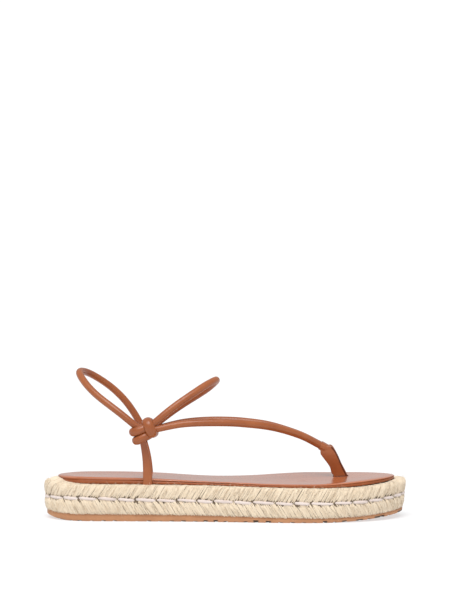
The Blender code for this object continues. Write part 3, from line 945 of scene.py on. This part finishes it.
def makeFuzz():
    bm = layered(True)
    upper, lower = sectionCurve(upperSection), sectionCurve(lowerSection)
    for k in range(fuzz["rim"] + fuzz["side"]):
        onRim = k < fuzz["rim"]
        distance = between(0.0, rimLength)
        curve = upper if onRim or random.random() < 0.5 else lower
        _, normal = rimPlace(distance)
        way = Vector((-normal.y, normal.x, 0.0))
        up = Vector((0.0, 0.0, 1.0 if curve is upper else -1.0))
        # a fibre on the side; one on the rim draws its own place and way after it
        share = between(0.75, 1.0) if onRim else between(0.1, 0.95)
        aim = way * between(0.3, 1.0) + up * between(0.2, 0.9) + normal * between(0.02, 0.2)
        if onRim:
            share = between(0.7, 0.95)
            aim = way * between(-0.6, 1.0) + up * between(0.0, 0.35) - normal * between(-0.12, 0.7)
        place = sectionAt(curve, curve[1][-1] * share)
        start = jutePoint(distance, place.x, place.y)
        length = between(0.0012, 0.0036)
        bend = Vector((between(-1, 1), between(-1, 1), between(-1, 0.6))) * 0.35
        way = aim.normalized()
        points = [start + (way * t + bend * t * t) * length for t in (-0.15, 0.1, 0.35, 0.6, 0.8, 1.0)]
        stations = cordStations(points, lambda s: fuzz["thickness"] * (1.0 - 0.7 * s))
        layTube(bm, 3, stations, between(0.4, 0.8))
    return closedObject(bm, "looseFibres", "jute")


# the leather footbed and the padded insole on it
leatherTop = {
    "steps": 360,
    # share of the height, inset, and more inset where a crease parts the two layers
    "footbedEdge": (
        (0.0, 0.0009, 0.0), (0.12, 0.0003, 0.0), (0.3, 0.0, 0.0), (0.62, 0.0, 0.0),
        (0.84, 0.0, 0.0001), (0.95, 0.0001, 0.0004), (1.0, 0.0003, 0.0008),
    ),
    "insoleEdge": (
        (0.0, 0.0003, 0.0008), (0.1, 0.0001, 0.0004), (0.26, 0.0, 0.0001), (0.5, 0.0001, 0.0),
        (0.7, 0.0005, 0.0), (0.85, 0.0012, 0.0), (0.95, 0.0022, 0.0), (1.0, 0.0035, 0.0),
    ),
    "crease": (-0.07, 0.024),  # where it shows along the sole
    # pressed in by heel and ball: place, half length and width, depth
    "dips": ((-0.083, 0.0, 0.034, 0.021, 0.0006), (0.052, 0.003, 0.036, 0.03, 0.00033)),
    "toeRound": (0.05, 0.06, 0.75),  # from where, over what length, how much rounder the rim gets
    "heelRound": (-0.09, -0.032, 0.8),
    # faces flatter than this take the lighter, lit copy of the leather, steeper ones the shaded copy
    "litTopSlope": 0.72,
}


def creaseShare(x):
    low, high = leatherTop["crease"]
    return 0.9 * clamp(min(x - low, high - x) / 0.012)


def edgeRound(x):
    rows = leatherTop["toeRound"], leatherTop["heelRound"]
    return 1.0 + sum(more * clamp((x - start) / run) ** 2 for start, run, more in rows)


def padHeight(point, share):
    x, y = point.x, point.y
    height = noise.noise(Vector((x * 55.0, y * 55.0, 3.0))) * 0.00008
    for placeX, placeY, halfLong, halfWide, depth in leatherTop["dips"]:
        height -= depth * exp(-(((x - placeX) / halfLong) ** 2 + ((y - placeY) / halfWide) ** 2))
    return height * min(1.0, share * 4.0)


def makeLayer(name, edge, level, finish, shaped):
    steps = leatherTop["steps"]

    def edgeAt(share, inset, crease):
        def place(i):
            point, normal = rimPlace(rimLength * i / steps)
            x = point.x
            point = point - normal * (endRim(x) + inset * edgeRound(x) + crease * creaseShare(x))
            point.z = blend(layerLevel(point, level - 1), layerLevel(point, level), share)
            return point
        return place

    def topAt(share):
        def place(i):
            distance = rimLength * i / steps
            x = rimPlace(distance)[0].x
            point = innerPoint(distance, endRim(x) + edge[-1][1] * edgeRound(x), share)
            point.z = layerLevel(point, level) + (padHeight(point, share) if shaped else 0.0)
            return point
        return place

    rings = [edgeAt(*row) for row in edge]
    rings += [topAt(share) for share in (0.06, 0.14, 0.24, 0.36, 0.5, 0.64, 0.78, 0.9)]
    bm = stackLoops(steps, rings, strip=True)
    return meshObject(bm, name, finish)


# the cords of the upper
upper = {
    "height": 0.075,  # of the straps over the insole between the knots
    "halfSpan": 0.034,
    "ankleCord": 0.0052,
    "toeCord": (0.0045, 0.0052, 0.0055, 0.0051, 0.0047),  # from a knot to the tab
    "spread": 0.0039,  # half the distance between the two toe cords in the tab
    "outerKnot": (0.2785, -1.0, 0.45),
    "innerKnot": (0.2785, 1.0, 0.368),
    # round the heel: share of the length, of the half span, of the height
    "heelLoop": (
        (0.259, -1.0, 0.49), (0.232, -0.97, 0.566), (0.203, -0.91, 0.645), (0.171, -0.8, 0.722),
        (0.142, -0.64, 0.795), (0.117, -0.43, 0.876), (0.101, -0.2, 0.945), (0.094, 0.03, 0.985),
        (0.101, 0.26, 0.99), (0.122, 0.5, 0.96), (0.149, 0.69, 0.898), (0.18, 0.83, 0.82),
        (0.207, 0.91, 0.73), (0.231, 0.95, 0.635), (0.2515, 0.98, 0.52), (0.267, 0.99, 0.425),
    ),
    # and back across the instep
    "frontLoop": (
        (0.322, 0.97, 0.492), (0.366, 0.92, 0.604), (0.407, 0.77, 0.7), (0.444, 0.5, 0.786),
        (0.47, 0.22, 0.87), (0.479, -0.03, 0.917), (0.47, -0.28, 0.912), (0.441, -0.54, 0.869),
        (0.403, -0.77, 0.783), (0.362, -0.92, 0.694), (0.318, -0.99, 0.573),
    ),
    # share of the way to the tab, outer strap's share across and its bow, inner strap's
    "toeStraps": (
        (0.0, 0.0, 0.0, 0.0, 0.0), (0.08, 0.0, 0.041, 0.0, 0.048),
        (0.19, 0.01, 0.102, 0.0, 0.107), (0.29, 0.04, 0.133, 0.02, 0.138),
        (0.4, 0.1, 0.154, 0.05, 0.157), (0.51, 0.18, 0.168, 0.12, 0.165),
        (0.58, 0.27, 0.167, 0.17, 0.162), (0.69, 0.41, 0.162, 0.29, 0.151),
        (0.79, 0.59, 0.134, 0.45, 0.119), (0.9, 0.82, 0.081, 0.72, 0.071),
        (0.97, 0.96, 0.024, 0.92, 0.021),
    ),
    "anchorWidth": (0.0069, 0.004),  # at the rim and at the knot
    "anchorThickness": (0.0031, 0.0041),
    "anchorForward": 0.0021,
    "anchorLean": 0.0031,
    # share of the way up from the rim to the knot, share of the way across
    "anchorLine": (
        (-0.24, 0.0), (-0.1, 0.0), (0.0, 0.0), (0.25, 0.04), (0.5, 0.2), (0.75, 0.53), (1.0, 1.0),
    ),
}

tab = {
    "foot": (0.0836, 0.0095),  # on the insole
    "height": 0.024,
    "mouth": (0.605, 0.965),  # back from the foot and up, as shares of the height
    "bend": (0.355, 0.825),
    "wall": 0.0009,
    # round the cords, from the mouth on: forward, share of the cords' spread, size
    "sleeve": (
        (-0.0002, 1.0, 1.0), (0.003, 0.98, 1.0), (0.006, 0.75, 1.0), (0.0085, 0.42, 0.95),
        (0.0105, 0.15, 0.8),
    ),
    "voxel": 0.00028,
    # its painted front edge, forward and up in millimetres
    "edge": (
        (-6.7, 22.4), (-4.8, 20.1), (-2.1, 15.6), (0.1, 10.1), (2.5, 4.9), (4.1, 1.8), (4.7, -0.6),
    ),
    "slot": (0.0001, 0.0051, 0.00285),  # of the slot's dark rim, painted shade round the tab's foot: middle forward of the foot, half length, half width
}


def strapPoint(row):
    along, across, rise = row
    length = sole["length"]
    seat = insoleTop((upper["outerKnot"][0] - 0.5) * length)
    z = seat + rise * upper["height"]
    return Vector(((along - 0.5) * length, across * upper["halfSpan"], z))


def tabPoint(shares):
    x, y = tab["foot"]
    return Vector((x - shares[0] * tab["height"], y, insoleTop(x) + shares[1] * tab["height"]))


def knotMiddle(side):
    return strapPoint(upper["outerKnot"] if side < 0 else upper["innerKnot"])


def cordObject(name, sides, stations, bulge=None, ring=False):
    bm = layered(False)
    layTube(bm, sides, stations, bulge=bulge, capped=not ring)
    return closedObject(bm, name, "upper", seams=ring)


def makeAnkleCord():
    rows = (upper["outerKnot"],) + upper["heelLoop"] + (upper["innerKnot"],) + upper["frontLoop"]
    points = evenOut(smoothCurve([strapPoint(row) for row in rows], 6, True), 24, True)
    stations = cordStations(points, upper["ankleCord"] / 2.0, closed=True)
    return cordObject("ankleCord", 16, stations, ring=True)


def makeToeCord():
    bend, mouth = tabPoint(tab["bend"]), tabPoint(tab["mouth"])
    ahead = (bend - mouth).normalized()
    halves = []
    for side, columns in ((-1, (1, 2)), (1, (3, 4))):
        knot = knotMiddle(side)
        end = mouth + Vector((0.0, side * upper["spread"], 0.0))
        half = []
        for row in upper["toeStraps"]:
            across, bow = (row[column] for column in columns)
            point = knot.lerp(end, row[0])
            point.y = knot.y + across * (end.y - knot.y)
            point.z += bow * upper["height"]
            half.append(point)
        halves.append(half + [end])
    centre = bend - ahead * upper["spread"]
    turn = []
    for angle in (-60.0, -30.0, 0.0, 30.0, 60.0):
        way = radians(angle)
        out = ahead * cos(way) + Vector((0.0, sin(way), 0.0))
        turn.append(centre + out * upper["spread"])
    points = evenOut(smoothCurve(halves[0] + turn + halves[1][::-1], 6, False), 8, False)
    widths = upper["toeCord"]

    def radius(share):
        place = min(share, 1.0 - share) * 2.0 * (len(widths) - 1)
        low = min(int(place), len(widths) - 2)
        return blend(widths[low], widths[low + 1], place - low) / 2.0

    return cordObject("toeCord", 18, cordStations(points, radius))


def makeAnchor(name, side):
    knot = knotMiddle(side)
    x = knot.x + upper["anchorForward"]
    inner = [p - n * sole["sideRim"] for p, n in zip(rimPoints, rimNormals)]
    edge = min((p for p in inner if p.y * side > 0.0), key=lambda p: abs(p.x - x))
    foot = Vector((x, side * (abs(edge.y) + sole["gap"] + upper["anchorThickness"][0] / 2.0), 0.0))
    rim = footbedFoot(x) - sole["gap"]
    head = knot - Vector((upper["anchorLean"], 0.0, 0.0))
    middles = []
    for share, lean in upper["anchorLine"]:
        middle = foot.lerp(head, lean)
        middle.z = blend(rim, knot.z, share)
        middles.append(middle)
    stations = []
    for middle in smoothCurve(middles, 5, False):
        taper = clamp((middle.z - rim) / (knot.z - rim))
        wide, thick = (blend(*upper[size], taper) / 2.0 for size in ("anchorWidth", "anchorThickness"))
        stations.append((middle, Vector((wide, 0.0, 0.0)), Vector((0.0, thick, 0.0))))
    return cordObject(name, 24, stations, bulge=lambda angle, share: squared(angle, 2.9))


# the knots: turns as seen from outside, and the tight turns inside them; for each its
# place forward and up from the knot's middle, slope in radians, half its long side and
# depth, width and thickness of the cord in it; all but the slope are shares of knotSize
knotSize = 0.0043
knotTurns = {
    "upperTurn": (-0.74, 0.34, 0.35, 1.32, 1.06, 1.42, 1.22),
    "lowerTurn": (-0.38, -0.99, 0.46, 1.22, 1.02, 1.38, 1.22),
    "frontTurn": (0.86, 0.68, -1.15, 1.17, 1.5, 1.74, 1.2),
    "upperHeart": (-0.6, 0.34, 0.35, 0.62, 0.4, 1.34, 1.1),
    "lowerHeart": (-0.3, -0.98, 0.46, 0.56, 0.38, 1.28, 1.1),
    "frontHeart": (0.84, 0.6, -1.15, 0.44, 0.62, 1.5, 1.15),
}


def makeKnot(name, side):
    size, count = knotSize, 40
    deepWay = Vector((0.0, 1.0, 0.0))
    bm = layered(False)
    for along, rise, slope, halfLong, halfDeep, wide, thick in knotTurns.values():
        centre = knotMiddle(side) + Vector((along, 0.0, rise)) * size
        longWay = Vector((cos(slope), 0.0, sin(slope)))
        axis = longWay.cross(deepWay)
        stations = []
        for k in range(count + 1):
            angle = 2.0 * pi * (k % count) / count
            c, s = cos(angle), sin(angle)
            out = longWay * (halfLong * c) + deepWay * (halfDeep * s)
            point = centre + out * (size * squared(angle, 2.6))
            outward = (longWay * (c / halfLong) + deepWay * (s / halfDeep)).normalized()
            stations.append((point, axis * (wide * size / 2.0), outward * (thick * size / 2.0)))
        layTube(bm, 18, stations, capped=False)
    return closedObject(bm, name, "upper", seams=True)


# the toe tab: the two flaps of its folded strip, seen from the outer side, as places
# forward of the tab's foot and up, in millimetres
nearFlap = (
    (-14.7, 18.0), (-14.0, 21.6), (-11.4, 22.7), (-7.0, 22.7), (-4.7, 20.2), (-1.9, 15.8),
    (0.3, 10.2), (2.7, 5.0), (4.4, 1.6), (4.9, -3.0), (-4.4, -3.0), (-4.8, 0.9),
    (-6.8, 3.6), (-7.3, 6.4), (-8.8, 9.4), (-11.6, 13.2), (-14.3, 16.8),
)
farFlap = (
    (-12.6, 18.0), (-11.6, 21.6), (-9.2, 22.9), (-6.6, 23.3), (-4.3, 20.4), (-1.9, 15.9),
    (0.5, 10.4), (2.1, 7.4), (5.2, 1.2), (5.6, -3.0), (-4.0, -3.0), (-4.4, 0.8),
    (-5.8, 3.6), (-6.4, 6.4), (-7.8, 9.5), (-10.6, 13.4), (-12.4, 16.0),
)


def tabDepth(up):
    # half the tab's thickness: two plies at the foot, round the cords at the top
    share = clamp(up / 18.0)
    return 0.0026 + 0.0038 * share * (0.6 + 0.4 * share * (3.0 - 2.0 * share))


def makeFlap(outline, side):
    # one flap, thick from the middle to its face, cut into slices and then spread
    x, y = tab["foot"]
    base = insoleTop(x)
    bm = bmesh.new()
    outline = evenOut(smoothCurve([(a, b, 0.0) for a, b in outline], 4, True), 2, True)
    ring = bmesh.ops.create_circle(bm, cap_ends=True, segments=len(outline), radius=1.0)["verts"]
    for vertex, place in zip(ring, outline):
        vertex.co = (x + place.x / 1000.0, y, base + place.y / 1000.0)
    for k in range(-2, 25):
        parts = bm.verts[:] + bm.edges[:] + bm.faces[:]
        place = (0.0, 0.0, base + k / 1000.0)
        bmesh.ops.bisect_plane(bm, geom=parts, plane_co=place, plane_no=(0.0, 0.0, 1.0))
    grown = bmesh.ops.extrude_face_region(bm, geom=bm.faces[:])["geom"]
    for part in grown:
        if isinstance(part, bmesh.types.BMVert):
            part.co.y += side * tabDepth((part.co.z - base) * 1000.0)
    for vertex in bm.verts:
        if abs(vertex.co.y - y) < 1e-7:
            vertex.co.y -= side * 0.0002
    bmesh.ops.recalc_face_normals(bm, faces=bm.faces)
    return bm


def makeToeTab():
    bend, mouth = tabPoint(tab["bend"]), tabPoint(tab["mouth"])
    ahead = (bend - mouth).normalized()
    rise = ahead.cross(Vector((0.0, -1.0, 0.0)))
    radius = upper["toeCord"][-1] / 2.0 + tab["wall"]
    stations = []
    for along, apart, size in tab["sleeve"]:
        across = Vector((0.0, radius * size + upper["spread"] * apart, 0.0))
        stations.append((mouth + ahead * along, across, rise * (radius * size)))
    bm = layered(False)
    layTube(bm, 28, stations, bulge=lambda angle, share: squared(angle, 2.7))
    bmesh.ops.recalc_face_normals(bm, faces=bm.faces)
    for outline, side in ((nearFlap, -1.0), (farFlap, 1.0)):
        flap = makeFlap(outline, side)
        loose = bpy.data.meshes.new("flap")
        flap.to_mesh(loose)
        flap.free()
        bm.from_mesh(loose)
        bpy.data.meshes.remove(loose)
    body = meshObject(bm, "toeTab", "upper")
    skin = body.modifiers.new("skin", "REMESH")
    skin.mode = "VOXEL"
    skin.voxel_size = tab["voxel"]
    soft = body.modifiers.new("soft", "SMOOTH")
    soft.factor = 0.5
    soft.iterations = 10
    applyAll(body)
    body.data.shade_smooth()
    return body


def makeTabEdgeAndSlotShade():
    # the painted edge of the near flap, and the rim of the slot round the tab's foot, dark as painted
    # shade where the tab meets the insole
    x, y = tab["foot"]
    base = insoleTop(x)
    places = [(x + a / 1000.0, y - tabDepth(b) + 0.0001, base + b / 1000.0) for a, b in tab["edge"]]
    line = cordStations(smoothCurve(places, 6, False), 0.00042, up=(0.0, 1.0, 0.0))
    bm = layered(False)
    layTube(bm, 10, [(p, a * 1.3, o) for p, a, o in line])
    middle, halfLong, halfWide = tab["slot"]
    rim = []
    for k in range(48):
        angle = pi * k / 24.0
        flat = squared(angle, 3.0)
        along, aside = halfLong * cos(angle) * flat, halfWide * sin(angle) * flat
        place = Vector((x + middle + along, y + aside, 0.0))
        place.z = layerLevel(place, 2) + padHeight(place, 1.0)
        rim.append(place)
    # the slot's rim round the tab's foot, dark as painted shade
    layTube(bm, 8, cordStations(rim, 0.0006, closed=True), capped=False)
    return closedObject(bm, "toeTabEdgeAndSlotShade", "edge", seams=True)


print("building the sole")
addPiece(makeOutsole(), "rubber", "outsole")
addPiece(makeJuteCore(), "jute", "jute_platform")
addPiece(makeStrands("juteUpperRow", upperSection, True), "jute", "jute_platform")
addPiece(makeStrands("juteLowerRow", lowerSection, False), "jute", "jute_platform")
addPiece(makeStitches(), "jute")
addPiece(makeFuzz(), "jute")
addPiece(makeWisps("upperFibres", upperSection, True), "jute")
addPiece(makeWisps("lowerFibres", lowerSection, False), "jute")
footbedPad = makeLayer("footbedLeather", leatherTop["footbedEdge"], 1, "footbed", False)
addPiece(footbedPad, "leather", "footbed")
insolePad = makeLayer("insoleLeather", leatherTop["insoleEdge"], 2, "insole", True)
insolePad.data.materials.append(finishes["footbed"])
for face in insolePad.data.polygons:  # its top takes the lighter insole copy of the leather, its sloping rim the darker footbed copy: painted light, a lit top over a shaded rim
    face.material_index = 1 if face.normal.z < leatherTop["litTopSlope"] else 0
addPiece(insolePad, "leather", "insole")

print("building the upper")
addPiece(makeAnkleCord(), "leather", "straps")
addPiece(makeToeCord(), "leather", "straps")
addPiece(makeAnchor("outerAnchor", -1), "leather", "straps")
addPiece(makeAnchor("innerAnchor", 1), "leather", "straps")
addPiece(makeKnot("outerKnot", -1), "leather", "straps")
addPiece(makeKnot("innerKnot", 1), "leather", "straps")
addPiece(makeToeTab(), "leather", "toe_tab")
addPiece(makeTabEdgeAndSlotShade(), "leather", "toe_tab")
